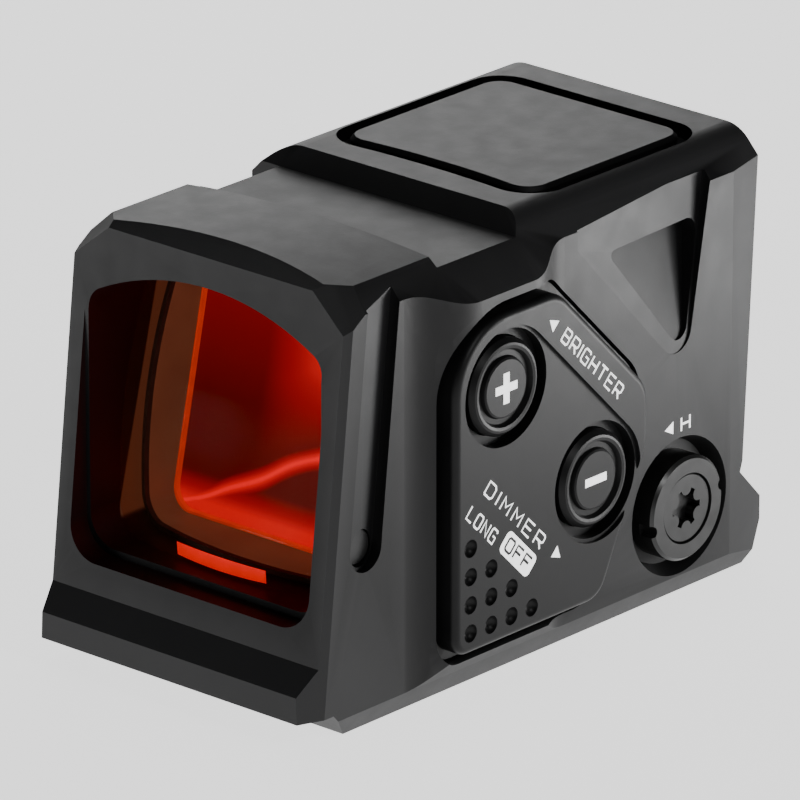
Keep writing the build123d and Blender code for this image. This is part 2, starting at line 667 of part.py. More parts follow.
def push_button(centre):
    """Round rubber button with a raised collar, a groove and a middle disc."""
    back = BUTTON_BACK_X
    collar = PAD_X + BUTTON_PROUD
    with BuildPart() as button:
        with BuildSketch(Plane.XY):
            with BuildLine():
                Polyline(
                    (back, 0),
                    (back, BUTTON_R),
                    (collar - 0.45, BUTTON_R),
                    (collar - 0.05, BUTTON_R - 0.35),
                    (collar, BUTTON_R - 0.55),
                    (collar - 0.05, COLLAR_IN_R + 0.2),
                    (collar - 0.45, COLLAR_IN_R),
                    (collar - 0.45, DISC_R + 0.12),
                    (collar - 0.12, DISC_R),
                    (collar - 0.02, DISC_R - 0.15),
                    (collar - 0.02, 0),
                    close=True,
                )
            make_face()
        revolve(axis=Axis.X)
    with BuildPart() as placed:
        add(button.part.moved(Location((0, centre[0], centre[1]))))
    return placed


plus_button = push_button(PLUS_YZ)
finish(plus_button, "plus_button")
minus_button = push_button(MINUS_YZ)
finish(minus_button, "minus_button")

with BuildPart() as switch_lead:
    with BuildSketch(cross_plane(LEAD_Y + 0.15)):
        with BuildLine():
            Polyline(
                (POCKET_X - 0.02, LEAD_Z - 0.5),
                (POCKET_X - 0.02, LEAD_Z + 0.5),
                (BAY_HALF_X - 1.2, LEAD_Z + 0.5),
                (BAY_HALF_X - 1.2, LEAD_Z - 3.2),
                (BAY_HALF_X - 0.2, LEAD_Z - 3.2),
                (BAY_HALF_X - 0.2, LEAD_Z - 0.5),
                close=True,
            )
        make_face()
    extrude(amount=0.2)
finish(switch_lead, "switch_lead")

# ======================================================================== battery
COVER_FIT = 0.1
COVER_FLANGE_T = 0.4
COVER_TOP_Z = TOP_Z + 0.05
SEAT_GAP = 0.02

with BuildPart() as battery_cover:
    with BuildSketch(Plane.XY.offset(COVER_SEAT_Z + SEAT_GAP)):
        add(cover_outline(COVER_FIT))
    extrude(amount=COVER_FLANGE_T)
    with BuildSketch(Plane.XY.offset(COVER_SEAT_Z + SEAT_GAP)):
        add(cover_outline(COVER_MOAT))
    extrude(amount=COVER_TOP_Z - COVER_SEAT_Z - SEAT_GAP)
    chamfer(battery_cover.faces().sort_by(Axis.Z)[-1].edges(), 0.35)
finish(battery_cover, "battery_cover")

with BuildPart() as battery_cover_seal:
    with BuildSketch(Plane.XY.offset(COVER_SEAT_Z - SEAL_DEPTH + 0.02)):
        add(cover_outline(SEAL_INSET + 0.02))
        add(cover_outline(SEAL_INSET + SEAL_W - 0.02), mode=Mode.SUBTRACT)
    extrude(amount=SEAL_DEPTH - 0.04)
finish(battery_cover_seal, "battery_cover_seal")

with BuildPart() as battery:
    with BuildSketch(Plane.XY.offset(BATTERY_Z)):
        with Locations((0, COVER_MID_Y)):
            Circle(CELL_R)
    extrude(amount=CELL_H - 0.02)
    chamfer(battery.edges().filter_by(GeomType.CIRCLE), 0.25)
finish(battery, "battery")

with BuildPart() as battery_clip:
    with BuildSketch(Plane.XY.offset(BATTERY_Z + 0.4)):
        with Locations((0, COVER_MID_Y)):
            Circle(CLIP_OUT_R)
            Circle(CLIP_IN_R, mode=Mode.SUBTRACT)
            Rectangle(3 * CELL_R, CLIP_ARM, mode=Mode.INTERSECT)
    extrude(amount=COVER_SEAT_Z + SEAT_GAP - BATTERY_Z - 0.4 - 0.01)
finish(battery_clip, "battery_clip")

with BuildPart() as contact_insulator:
    with BuildSketch(Plane.XY.offset(BATTERY_FLOOR_Z)):
        with Locations((0, COVER_MID_Y)):
            Circle(CELL_R)
    extrude(amount=0.2)
finish(contact_insulator, "contact_insulator")

with BuildPart() as battery_contact_minus:
    with BuildSketch(Plane.XY.offset(BATTERY_FLOOR_Z + 0.2)):
        with Locations((0, COVER_MID_Y)):
            SlotOverall(9, 4)
    extrude(amount=BATTERY_Z - BATTERY_FLOOR_Z - 0.25)
finish(battery_contact_minus, "battery_contact_minus")

with BuildPart() as battery_contact_plus:
    with BuildSketch(Plane.XY.offset(BATTERY_FLOOR_Z + 0.3)):
        with Locations(((-CLIP_OUT_R - BATTERY_WELL_R - CONTACT_NOTCH) / 2, COVER_MID_Y)):
            Rectangle(BATTERY_WELL_R + CONTACT_NOTCH - CLIP_OUT_R - 0.2, 2.4)
    extrude(amount=2.8)
finish(battery_contact_plus, "battery_contact_plus")

# ======================================================================== adjusters
RING_FACE_X = SIDE_X + RING_PROUD
HEAD_FACE_X = RING_FACE_X - HEAD_SINK
HEAD_T = 1.3
FLOOR_X = SIDE_X - SPOTFACE_DEPTH
SEAT_X = HEAD_FACE_X - HEAD_T  # underside of the screw head
RING_SEAL_X = FLOOR_X - 1.9
RING_SEAL_R = 0.5
CLIP_X = BAY_HALF_X - 0.9
CLIP_T = 0.4
CLIP_R = SHAFT_R + BLOCK_WALL
SCREW_END_X = 1.6
STAR_R = 1.7  # across the points of the star recess, halved
STAR_DEPTH = 0.9
STAR_NOTCH_R = 0.6
RING_NOTCH_R = 0.55
PLUNGER_R = 0.4
PLUNGER_OFFSET = (SHAFT_R + HEAD_R) / 2
PLUNGER_L = 2.0

with BuildPart() as elevation_bushing:
    with BuildSketch(side_plane(FLOOR_X + 0.01)):
        with Locations((ADJUST_Y, ADJUST_Z)):
            Circle(RING_R)
    extrude(amount=RING_FACE_X - FLOOR_X - 0.01)
    chamfer(elevation_bushing.faces().sort_by(Axis.X)[-1].edges(), 0.25)
    with BuildSketch(side_plane(BAY_HALF_X + 0.1)):
        with Locations((ADJUST_Y, ADJUST_Z)):
            Circle(BARREL_R)
    extrude(amount=FLOOR_X - BAY_HALF_X)
    with BuildSketch(side_plane(RING_FACE_X)):
        with Locations((ADJUST_Y, ADJUST_Z)):
            Circle(HEAD_R + RUN)
    extrude(amount=-(RING_FACE_X - SEAT_X + 0.03), mode=Mode.SUBTRACT)
    with BuildSketch(side_plane(RING_FACE_X)):
        with Locations((ADJUST_Y, ADJUST_Z)):
            Circle(SHAFT_R + RUN)
    extrude(amount=-12, mode=Mode.SUBTRACT)
    with BuildSketch(side_plane(RING_SEAL_X - 0.55)):
        with Locations((ADJUST_Y, ADJUST_Z)):
            Circle(SHAFT_R + 1.12)
    extrude(amount=1.1, mode=Mode.SUBTRACT)
    with BuildSketch(side_plane(RING_FACE_X)):
        with Locations((ADJUST_Y, ADJUST_Z)):
            with PolarLocations(RING_R, 2, start_angle=12):
                Circle(RING_NOTCH_R)
    extrude(amount=-1.4, mode=Mode.SUBTRACT)
    with BuildSketch(side_plane(SEAT_X)):
        with Locations((ADJUST_Y, ADJUST_Z + PLUNGER_OFFSET)):
            Circle(PLUNGER_R + 0.02)
    extrude(amount=-(PLUNGER_L + 0.3), mode=Mode.SUBTRACT)
finish(elevation_bushing, "elevation_bushing")

with BuildPart() as elevation_screw:
    with BuildSketch(side_plane(SEAT_X)):
        with Locations((ADJUST_Y, ADJUST_Z)):
            Circle(HEAD_R)
    extrude(amount=HEAD_T)
    chamfer(elevation_screw.faces().sort_by(Axis.X)[-1].edges(), 0.15)
    with BuildSketch(side_plane(SCREW_END_X)):
        with Locations((ADJUST_Y, ADJUST_Z)):
            Circle(SHAFT_R)
    extrude(amount=SEAT_X - SCREW_END_X)
    with BuildSketch(side_plane(CLIP_X)):
        with Locations((ADJUST_Y, ADJUST_Z)):
            Circle(SHAFT_R + 1)
            Circle(SHAFT_R - 0.3, mode=Mode.SUBTRACT)
    extrude(amount=CLIP_T, mode=Mode.SUBTRACT)
    with BuildSketch(side_plane(HEAD_FACE_X)):
        with Locations((ADJUST_Y, ADJUST_Z)):
            Circle(STAR_R)
            with PolarLocations(STAR_R + 0.02, 6, start_angle=30):
                Circle(STAR_NOTCH_R, mode=Mode.SUBTRACT)
    extrude(amount=-STAR_DEPTH, mode=Mode.SUBTRACT)
finish(elevation_screw, "elevation_screw")

with BuildPart() as elevation_clip:
    with BuildSketch(side_plane(CLIP_X + 0.02)):
        with Locations((ADJUST_Y, ADJUST_Z)):
            Circle(CLIP_R)
            Circle(SHAFT_R - 0.28, mode=Mode.SUBTRACT)
            with Locations((SHAFT_R, 0)):
                Rectangle(2 * SHAFT_R, SHAFT_R, mode=Mode.SUBTRACT)
    extrude(amount=CLIP_T - 0.04)
finish(elevation_clip, "elevation_clip")

with BuildPart() as elevation_o_ring:
    with BuildSketch(Plane.XY):
        with Locations((RING_SEAL_X, SHAFT_R + 0.08 + RING_SEAL_R)):
            Circle(RING_SEAL_R)
    revolve(axis=Axis.X)
    moved_ring = elevation_o_ring.part.moved(Location((0, ADJUST_Y, ADJUST_Z)))
    add(moved_ring, mode=Mode.REPLACE)
finish(elevation_o_ring, "elevation_o_ring")

with BuildPart() as elevation_plunger:
    with BuildSketch(side_plane(SEAT_X - 0.15)):
        with Locations((ADJUST_Y, ADJUST_Z + PLUNGER_OFFSET)):
            Circle(PLUNGER_R)
    extrude(amount=-PLUNGER_L)
    fillet(elevation_plunger.faces().sort_by(Axis.X)[-1].edges(), 0.3)
finish(elevation_plunger, "elevation_plunger")

for name, piece in (
    ("bushing", elevation_bushing),
    ("screw", elevation_screw),
    ("clip", elevation_clip),
    ("o_ring", elevation_o_ring),
    ("plunger", elevation_plunger),
):
    with BuildPart() as twin:
        mirror(piece.part, about=Plane.YZ)
    finish(twin, f"windage_{name}")

# ---- emitter slides in the bay
SLIDE_GAP = 0.1
BLOCK_X = (2.4, 7.0)  # wedge, from the middle outwards; the nut mirrors it
BLOCK_HALF_Y = 2.6
RAMP_RISE = 0.5  # z per x
RAMP_MID_Z = 7.2
FOOT_W = 1.3
CARRIAGE_HALF_X = BAY_HALF_X - SLIDE_GAP
CARRIAGE_FRONT_Y = BAY_FRONT_Y + 2.0
CARRIAGE_REAR_Y = BAY_REAR_Y - SLIDE_GAP
TABLE_Z = CARRIAGE_Z + CARRIAGE_T + 0.05
TABLE_T = 0.8
PIN_R = 0.7
PIN_X = -(BLOCK_X[0] + BLOCK_X[1]) / 2

with BuildPart() as elevation_wedge:
    with BuildSketch(Plane.XZ.offset(-(ADJUST_Y + BLOCK_HALF_Y))):
        with BuildLine():
            Polyline(
                (BLOCK_X[0], BASE_PLATE_T + SLIDE_GAP),
                (BLOCK_X[1], BASE_PLATE_T + SLIDE_GAP),
                (BLOCK_X[1], BLOCK_TOP_Z),
                (BLOCK_X[0], BLOCK_TOP_Z),
                close=True,
            )
        make_face()
    extrude(amount=2 * BLOCK_HALF_Y)
    half_run = (BLOCK_X[1] - BLOCK_X[0]) / 2
    with BuildSketch(Plane.XZ.offset(-(ADJUST_Y + BLOCK_HALF_Y + FOOT_W))):
        with BuildLine():
            Polyline(
                (BLOCK_X[0], BASE_PLATE_T + SLIDE_GAP),
                (BLOCK_X[1], BASE_PLATE_T + SLIDE_GAP),
                (BLOCK_X[1], RAMP_MID_Z + RAMP_RISE * half_run),
                (BLOCK_X[0], RAMP_MID_Z - RAMP_RISE * half_run),
                close=True,
            )
        make_face()
    extrude(amount=2 * (BLOCK_HALF_Y + FOOT_W))
    with BuildSketch(side_plane(BLOCK_X[0] - 1)):
        with Locations((ADJUST_Y, ADJUST_Z)):
            Circle(SHAFT_R + RUN)
    extrude(amount=8, mode=Mode.SUBTRACT)
finish(elevation_wedge, "elevation_wedge")

with BuildPart() as elevation_carriage:
    with BuildSketch(Plane.XY.offset(CARRIAGE_Z)):
        with Locations((0, (CARRIAGE_FRONT_Y + CARRIAGE_REAR_Y) / 2)):
            RectangleRounded(2 * CARRIAGE_HALF_X, CARRIAGE_REAR_Y - CARRIAGE_FRONT_Y, BAY_ROUND)
        with Locations((PIN_X, ADJUST_Y)):
            SlotCenterToCenter(2 * SHIFT_TRAVEL + 0.4, 2 * PIN_R + 0.5, mode=Mode.SUBTRACT)
    extrude(amount=CARRIAGE_T)
    # two feet stand on the wedge's ramps
    reach = ADJUST_TRAVEL
    for side in (1, -1):
        foot_near = ADJUST_Y + side * (BLOCK_HALF_Y + SLIDE_GAP)
        foot_far = ADJUST_Y + side * (BLOCK_HALF_Y + FOOT_W - SLIDE_GAP)
        with BuildSketch(Plane.XZ.offset(-max(foot_near, foot_far))):
            with BuildLine():
                Polyline(
                    (BLOCK_X[0] + reach, CARRIAGE_Z + 0.2),
                    (BLOCK_X[0] + reach, RAMP_MID_Z - RAMP_RISE * (half_run - reach) + 0.02),
                    (BLOCK_X[1] - reach, RAMP_MID_Z + RAMP_RISE * (half_run - reach) + 0.02),
                    (BLOCK_X[1] - reach, CARRIAGE_Z + 0.2),
                    close=True,
                )
            make_face()
        extrude(amount=abs(foot_far - foot_near))
finish(elevation_carriage, "elevation_carriage")

with BuildPart() as windage_nut:
    with BuildSketch(Plane.XY.offset(BASE_PLATE_T + SLIDE_GAP)):
        with Locations((PIN_X, ADJUST_Y)):
            Rectangle(BLOCK_X[1] - BLOCK_X[0], 2 * BLOCK_HALF_Y)
    extrude(amount=BLOCK_TOP_Z - BASE_PLATE_T - SLIDE_GAP)
    with BuildSketch(side_plane(-BLOCK_X[0] + 1)):
        with Locations((ADJUST_Y, ADJUST_Z)):
            Circle(SHAFT_R + RUN)
    extrude(amount=-8, mode=Mode.SUBTRACT)
    with BuildSketch(Plane.XY.offset(BLOCK_TOP_Z)):
        with Locations((PIN_X, ADJUST_Y)):
            Circle(PIN_R)
    extrude(amount=TABLE_Z + TABLE_T - BLOCK_TOP_Z - 0.05)
finish(windage_nut, "windage_nut")

TABLE_HALF_X = 6.6
TABLE_FRONT_Y = CARRIAGE_FRONT_Y + 0.8
TABLE_REAR_Y = 20.6
POST_HALF_X = 3.0
POST_T = 1.2
POST_TOP_Z = TABLE_Z + TABLE_T + 2.8

with BuildPart() as windage_carriage:
    with BuildSketch(Plane.XY.offset(TABLE_Z)):
        with Locations((0, (TABLE_FRONT_Y + TABLE_REAR_Y) / 2)):
            Rectangle(2 * TABLE_HALF_X, TABLE_REAR_Y - TABLE_FRONT_Y)
        with Locations((PIN_X, ADJUST_Y)):
            Circle(PIN_R + RUN, mode=Mode.SUBTRACT)
    extrude(amount=TABLE_T)
    with BuildSketch(Plane.XY.offset(TABLE_Z)):
        with Locations((0, TABLE_FRONT_Y + POST_T / 2)):
            Rectangle(2 * POST_HALF_X, POST_T)
    extrude(amount=POST_TOP_Z - TABLE_Z)
finish(windage_carriage, "windage_carriage")

with BuildPart() as emitter_board:
    with BuildSketch(cross_plane(TABLE_FRONT_Y - 0.01)):
        with Locations((0, POST_TOP_Z - 1.5)):
            RectangleRounded(5.4, 2.6, 0.3)
    extrude(amount=0.4)
finish(emitter_board, "emitter_board")

with BuildPart() as emitter:
    with BuildSketch(cross_plane(TABLE_FRONT_Y - 0.42)):
        with Locations((0, POST_TOP_Z - 1.3)):
            Rectangle(1.0, 0.8)
    extrude(amount=0.35)
    chamfer(emitter.faces().sort_by(Axis.Y)[0].edges(), 0.12)
finish(emitter, "emitter")

BAY_COVER_T = 0.35

with BuildPart() as bay_cover:
    with BuildSketch(Plane.XY.offset(REAR_FLOOR_Z)):
        with Locations((0, (BAY_FRONT_Y + BAY_MOUTH_REAR_Y) / 2)):
            Rectangle(2 * (REAR_HALF - REAR_ROUND - 0.1), BAY_MOUTH_REAR_Y - BAY_FRONT_Y + 0.8)
        with Locations((0, TABLE_FRONT_Y)):
            Rectangle(2 * POST_HALF_X + 1.4, 3.4, mode=Mode.SUBTRACT)
    extrude(amount=BAY_COVER_T)
finish(bay_cover, "bay_cover")

LEAF_T = 0.12
LEAF_BOW = 0.2
with BuildPart() as carriage_spring:
    leaf_y = BAY_REAR_Y - 0.6
    with BuildSketch(cross_plane(leaf_y)):
        with BuildLine():
            foot = CARRIAGE_Z + CARRIAGE_T + 0.02
            ThreePointArc((-5, foot), (0, foot + LEAF_BOW), (5, foot))
            Line((5, foot), (5, foot + LEAF_T))
            ThreePointArc((5, foot + LEAF_T), (0, foot + LEAF_T + LEAF_BOW), (-5, foot + LEAF_T))
            Line((-5, foot + LEAF_T), (-5, foot))
        make_face()
    extrude(amount=1.4)
finish(carriage_spring, "carriage_spring")

with BuildPart() as control_board:
    with BuildSketch(cross_plane(LEAD_Y + 0.95)):
        with Locations((0, (BASE_PLATE_T + 0.3 + LEAD_Z - 1.7) / 2)):
            Rectangle(2 * BAY_HALF_X - 0.4, LEAD_Z - 1.7 - BASE_PLATE_T - 0.3)
    extrude(amount=0.8)
finish(control_board, "control_board")

# ======================================================================== base
with BuildPart() as base_plate:
    with BuildSketch(Plane.XY):
        with Locations((0, PLATE_MID_Y)):
            RectangleRounded(2 * PLATE_HALF_X - 0.1, PLATE_LENGTH - 0.1, PLATE_ROUND)
    extrude(amount=BASE_PLATE_T - 0.01)
    with Locations(*[Location((x, y, 0), (180, 0, 0)) for x, y in PLATE_SCREWS]):
        CounterSinkHole(PLATE_SHANK_R + 0.05, PLATE_HEAD_R + 0.05, counter_sink_angle=90)
finish(base_plate, "base_plate")

with BuildPart() as base_gasket:
    with BuildSketch(Plane.XY.offset(BASE_PLATE_T)):
        with Locations((0, (BAY_FRONT_Y + BAY_REAR_Y) / 2)):
            width = 2 * BAY_HALF_X
            length = BAY_REAR_Y - BAY_FRONT_Y
            RectangleRounded(width + 1.3, length + 1.3, 1.45)
            RectangleRounded(width + 0.1, length + 0.1, 1.0, mode=Mode.SUBTRACT)
    extrude(amount=GASKET_T)
finish(base_gasket, "base_gasket")

with BuildPart() as base_screws:
    for x, y in PLATE_SCREWS:
        with BuildSketch(Plane((x, y, 0), x_dir=(1, 0, 0), z_dir=(0, -1, 0))):
            with BuildLine():
                Polyline(
                    (0, 0.05),
                    (PLATE_HEAD_R - 0.05, 0.05),
                    (PLATE_SHANK_R - 0.01, 0.05 + PLATE_HEAD_R - PLATE_SHANK_R),
                    (PLATE_SHANK_R - 0.01, BASE_PLATE_T + PLATE_SCREW_L - 0.3),
                    (0, BASE_PLATE_T + PLATE_SCREW_L - 0.3),
                    close=True,
                )
            make_face()
        revolve(axis=Axis((x, y, 0), (0, 0, 1)))
        with BuildSketch(Plane.XY):
            with Locations((x, y)):
                RegularPolygon(0.55, 6)
        extrude(amount=0.7, mode=Mode.SUBTRACT)
finish(base_screws, "base_screws")

with BuildPart() as purge_plug:
    with BuildSketch(side_plane(SIDE_X - PURGE_DEPTH + 0.01)):
        with Locations((GROOVE_NEAR_Y, GROOVE_FOOT_Z)):
            Circle(PURGE_R - 0.03)
    extrude(amount=0.7)
    chamfer(purge_plug.faces().sort_by(Axis.X)[-1].edges(), 0.12)
finish(purge_plug, "purge_plug")
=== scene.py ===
"""Looks of the enclosed red dot finder: materials, printed marks, bevels, light and camera,
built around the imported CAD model. Blender units are metres; MM turns millimetres into them."""
import json
import math

import bmesh
import bpy
from mathutils import Matrix, Vector

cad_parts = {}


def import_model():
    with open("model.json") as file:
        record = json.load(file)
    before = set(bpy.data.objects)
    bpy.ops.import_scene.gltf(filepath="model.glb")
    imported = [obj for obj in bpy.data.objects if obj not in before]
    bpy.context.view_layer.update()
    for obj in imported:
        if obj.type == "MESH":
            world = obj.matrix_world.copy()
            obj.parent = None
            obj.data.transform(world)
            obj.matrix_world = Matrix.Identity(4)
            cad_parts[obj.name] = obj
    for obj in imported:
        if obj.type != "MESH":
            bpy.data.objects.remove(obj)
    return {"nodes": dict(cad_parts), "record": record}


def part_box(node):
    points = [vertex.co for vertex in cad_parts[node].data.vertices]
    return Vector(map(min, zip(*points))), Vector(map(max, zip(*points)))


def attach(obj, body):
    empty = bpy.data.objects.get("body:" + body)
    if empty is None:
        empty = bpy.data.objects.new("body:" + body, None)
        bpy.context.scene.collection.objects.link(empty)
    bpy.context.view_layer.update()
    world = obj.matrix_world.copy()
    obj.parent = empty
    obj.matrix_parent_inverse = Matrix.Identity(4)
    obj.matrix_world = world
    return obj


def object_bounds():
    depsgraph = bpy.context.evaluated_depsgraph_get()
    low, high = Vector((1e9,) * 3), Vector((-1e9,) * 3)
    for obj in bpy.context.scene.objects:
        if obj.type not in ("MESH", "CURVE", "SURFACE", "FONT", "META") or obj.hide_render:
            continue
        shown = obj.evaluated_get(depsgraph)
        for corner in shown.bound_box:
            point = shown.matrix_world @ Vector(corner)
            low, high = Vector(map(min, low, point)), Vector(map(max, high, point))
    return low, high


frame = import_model()
cad_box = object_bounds()

MM = 0.001
NODES = frame["nodes"]
scene = bpy.context.scene


# ------------------------------------------------------------------ material helpers
class Shader:
    """A node material with one Principled shader, and short ways to feed it."""

    def __init__(self, name, **values):
        self.material = bpy.data.materials.new(name)
        self.material.use_nodes = True
        self.tree = self.material.node_tree
        self.bsdf = self.tree.nodes["Principled BSDF"]
        self.output = self.tree.nodes["Material Output"]
        self.position = self.node("ShaderNodeTexCoord").outputs["Object"]
        for key, value in values.items():
            self.bsdf.inputs[key.replace("_", " ")].default_value = value

    def node(self, kind, **settings):
        made = self.tree.nodes.new(kind)
        for key, value in settings.items():
            setattr(made, key, value)
        return made

    def link(self, start, end):
        self.tree.links.new(start, end)

    def noise(self, size_mm, detail=3.0, rough=0.5, vector=None):
        """Noise whose features are about size_mm across."""
        made = self.node("ShaderNodeTexNoise")
        made.inputs["Scale"].default_value = 1.0 / (size_mm * MM)
        made.inputs["Detail"].default_value = detail
        made.inputs["Roughness"].default_value = rough
        self.link(vector or self.position, made.inputs["Vector"])
        return made.outputs["Fac"]

    def ramp(self, source, stops):
        """Colour ramp over a 0 to 1 value; stops are (place, colour)."""
        made = self.node("ShaderNodeValToRGB")
        elements = made.color_ramp.elements
        while len(elements) < len(stops):
            elements.new(0.5)
        for element, (place, colour) in zip(elements, stops):
            element.position = place
            element.color = (*colour, 1.0)
        self.link(source, made.inputs["Fac"])
        return made.outputs["Color"]

    def spread(self, source, low, high, start=0.35, end=0.65):
        """A 0 to 1 value stretched to the range low to high."""
        made = self.node("ShaderNodeMapRange")
        made.inputs["From Min"].default_value = start
        made.inputs["From Max"].default_value = end
        made.inputs["To Min"].default_value = low
        made.inputs["To Max"].default_value = high
        self.link(source, made.inputs["Value"])
        return made.outputs["Result"]

    def calc(self, operation, *values):
        """Result of a math node; each value is a number or another node's output."""
        made = self.node("ShaderNodeMath", operation=operation)
        for socket, value in zip(made.inputs, values):
            if isinstance(value, (int, float)):
                socket.default_value = value
            else:
                self.link(value, socket)
        return made.outputs["Value"]

    def both(self, first, *others):
        """Product of several 0 to 1 masks: where all of them hold."""
        result = first
        for other in others:
            result = self.calc("MULTIPLY", result, other)
        return result

    def split(self, vector):
        made = self.node("ShaderNodeSeparateXYZ")
        self.link(vector, made.inputs["Vector"])
        return made.outputs["X"], made.outputs["Y"], made.outputs["Z"]

    def blend(self, factor, colour, other):
        """The colour from a node, going over to another fixed colour by a factor."""
        made = self.node("ShaderNodeMix", data_type="RGBA")
        self.link(factor, made.inputs["Factor"])
        self.link(colour, made.inputs["A"])
        made.inputs["B"].default_value = (*other, 1.0)
        return made.outputs["Result"]

    def glow(self, colour, strength):
        """Light of the surface's own, in the colour from a node."""
        self.link(colour, self.bsdf.inputs["Emission Color"])
        self.bsdf.inputs["Emission Strength"].default_value = strength

    def bump(self, source, height_mm, strength=1.0, below=None):
        made = self.node("ShaderNodeBump")
        made.inputs["Distance"].default_value = height_mm * MM
        made.inputs["Strength"].default_value = strength
        self.link(source, made.inputs["Height"])
        if below is not None:
            self.link(below, made.inputs["Normal"])
        return made.outputs["Normal"]

    def finish(self, colour=None, roughness=None, normal=None):
        if colour is not None:
            self.link(colour, self.bsdf.inputs["Base Color"])
        if roughness is not None:
            self.link(roughness, self.bsdf.inputs["Roughness"])
        if normal is not None:
            self.link(normal, self.bsdf.inputs["Normal"])
        return self.material


def grey(level):
    return (level, level, level)


def mottled(name, dark, light, rough_low, rough_high, blotch_mm, grain_mm, grain_h, **values):
    """Finish with uneven colour, uneven gloss and a fine grain of the given height."""
    made = Shader(name, **values)
    blotch = made.noise(blotch_mm, 4.0)
    grain = made.noise(grain_mm, 2.0)
    colour = made.ramp(blotch, [(0.35, dark), (0.65, light)])
    return made.finish(
        colour=colour,
        roughness=made.spread(made.noise(blotch_mm * 0.4, 5.0, 0.6), rough_low, rough_high),
        normal=made.bump(grain, grain_h),
    )


# ------------------------------------------------------------------ materials
# the hollow in front of the objective, which carries a painted red reflection and the painted
# bronze glow on its side walls, in millimetres: where each bound begins and ends
HOLLOW_HALF = (12.75, 12.9)
HOLLOW_FLOOR = (9.05, 9.25)
HOLLOW_CROWN = (34.4, 34.7)
HOLLOW_REAR = (-14.0, -13.0)
FRONT_FACING = (-0.8, -0.6)     # Y of the normal, which tells the front face from the hollow
BRONZE_LEAN = -0.255            # the edge of the bronze light leans back as it rises
BRONZE_EDGE = (-22.95, -22.8)
BRONZE_HALF = (11.9, 12.1)
BRONZE_FLOOR = (10.9, 11.3)


def anodised_material():
    """Bead-blasted, hard-anodised aluminium: satin black with a fine sparkle-free grain, and edges
    painted slightly lighter, partly as wear and partly as a painted highlight. The objective's
    hollow carries a painted dark red reflection of the red glass, and a painted bronze glow,
    standing in for light from the coated glass, lies on its side walls just ahead of the glass."""
    made = Shader("anodised_aluminium", IOR=1.5, Specular_IOR_Level=0.19)

    def rises(value, bounds):
        return made.spread(value, 0.0, 1.0, *(bound * MM for bound in bounds))

    def falls(value, bounds):
        return made.spread(value, 1.0, 0.0, *(bound * MM for bound in bounds))

    stops = [(0.3, (0.003, 0.003, 0.0032)), (0.7, (0.0042, 0.0042, 0.0045))]
    body = made.ramp(made.noise(9.0, 3.0), stops)
    across, along, height = made.split(made.position)
    side = made.calc("ABSOLUTE", across)
    facing = made.split(made.node("ShaderNodeTexCoord").outputs["Normal"])[1]
    # painted reflection: the hollow's walls are tinted dark red, standing in for the red glass
    # reflected in them
    painted_red_reflection_mask = made.both(
        falls(side, HOLLOW_HALF),
        rises(height, HOLLOW_FLOOR),
        falls(height, HOLLOW_CROWN),
        falls(along, HOLLOW_REAR),
        made.spread(facing, 0.0, 1.0, *FRONT_FACING),
    )
    # painted bronze glow (emission) on the hollow's side walls just ahead of the glass, standing
    # in for light from the coated glass
    reach = made.calc("MULTIPLY_ADD", height, BRONZE_LEAN, along)
    shown = made.both(
        painted_red_reflection_mask, rises(reach, BRONZE_EDGE), rises(side, BRONZE_HALF), rises(height, BRONZE_FLOOR)
    )
    made.glow(made.ramp(shown, [(0.0, (0.0, 0.0, 0.0)), (1.0, (0.062, 0.021, 0.01))]), 1.0)
    # edges painted lighter by pointiness: partly wear, partly a painted highlight
    pointed = made.node("ShaderNodeNewGeometry").outputs["Pointiness"]
    edge = made.spread(pointed, 0.0, 0.4, 0.53, 0.6)
    edge_wear_and_highlight = made.blend(edge, body, (0.035, 0.035, 0.036))
    fine = made.bump(made.noise(0.11, 2.0, 0.6), 0.004)
    return made.finish(
        colour=made.blend(painted_red_reflection_mask, edge_wear_and_highlight, (0.011, 0.0007, 0.0005)),
        roughness=made.spread(made.noise(2.2, 4.0, 0.6), 0.44, 0.48),
        normal=made.bump(made.noise(0.45, 3.0), 0.003, below=fine),
    )


def turned_steel():
    """Black-oxided steel with fine concentric tool marks about the adjusters' axis."""
    low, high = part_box("elevation_screw")
    made = Shader("black_oxide_steel", Metallic=0.85, IOR=1.6)
    mapping = made.node("ShaderNodeMapping")
    mapping.inputs["Location"].default_value = (0, -(low.y + high.y) / 2, -(low.z + high.z) / 2)
    made.link(made.position, mapping.inputs["Vector"])
    rings = made.node("ShaderNodeTexWave", wave_type="RINGS", rings_direction="X")
    rings.inputs["Scale"].default_value = 2600.0
    rings.inputs["Distortion"].default_value = 0.6
    made.link(mapping.outputs["Vector"], rings.inputs["Vector"])
    colour = made.ramp(made.noise(2.5, 3.0), [(0.3, grey(0.028)), (0.7, grey(0.038))])
    fine = made.bump(made.noise(0.09, 2.0), 0.0015)
    normal = made.bump(rings.outputs["Fac"], 0.0012, 0.5, below=fine)
    rough = made.spread(made.noise(0.9), 0.3, 0.36)
    return made.finish(colour=colour, roughness=rough, normal=normal)


def see_through(made, tint, fac):
    """Let most light pass the shader, tinted, and keep its own gloss by the factor."""
    clear = made.node("ShaderNodeBsdfTransparent")
    clear.inputs["Color"].default_value = (*tint, 1.0)
    mix = made.node("ShaderNodeMixShader")
    made.link(fac, mix.inputs["Fac"])
    made.link(clear.outputs["BSDF"], mix.inputs[1])
    made.link(made.bsdf.outputs["BSDF"], mix.inputs[2])
    made.link(mix.outputs["Shader"], made.output.inputs["Surface"])
    return made.material


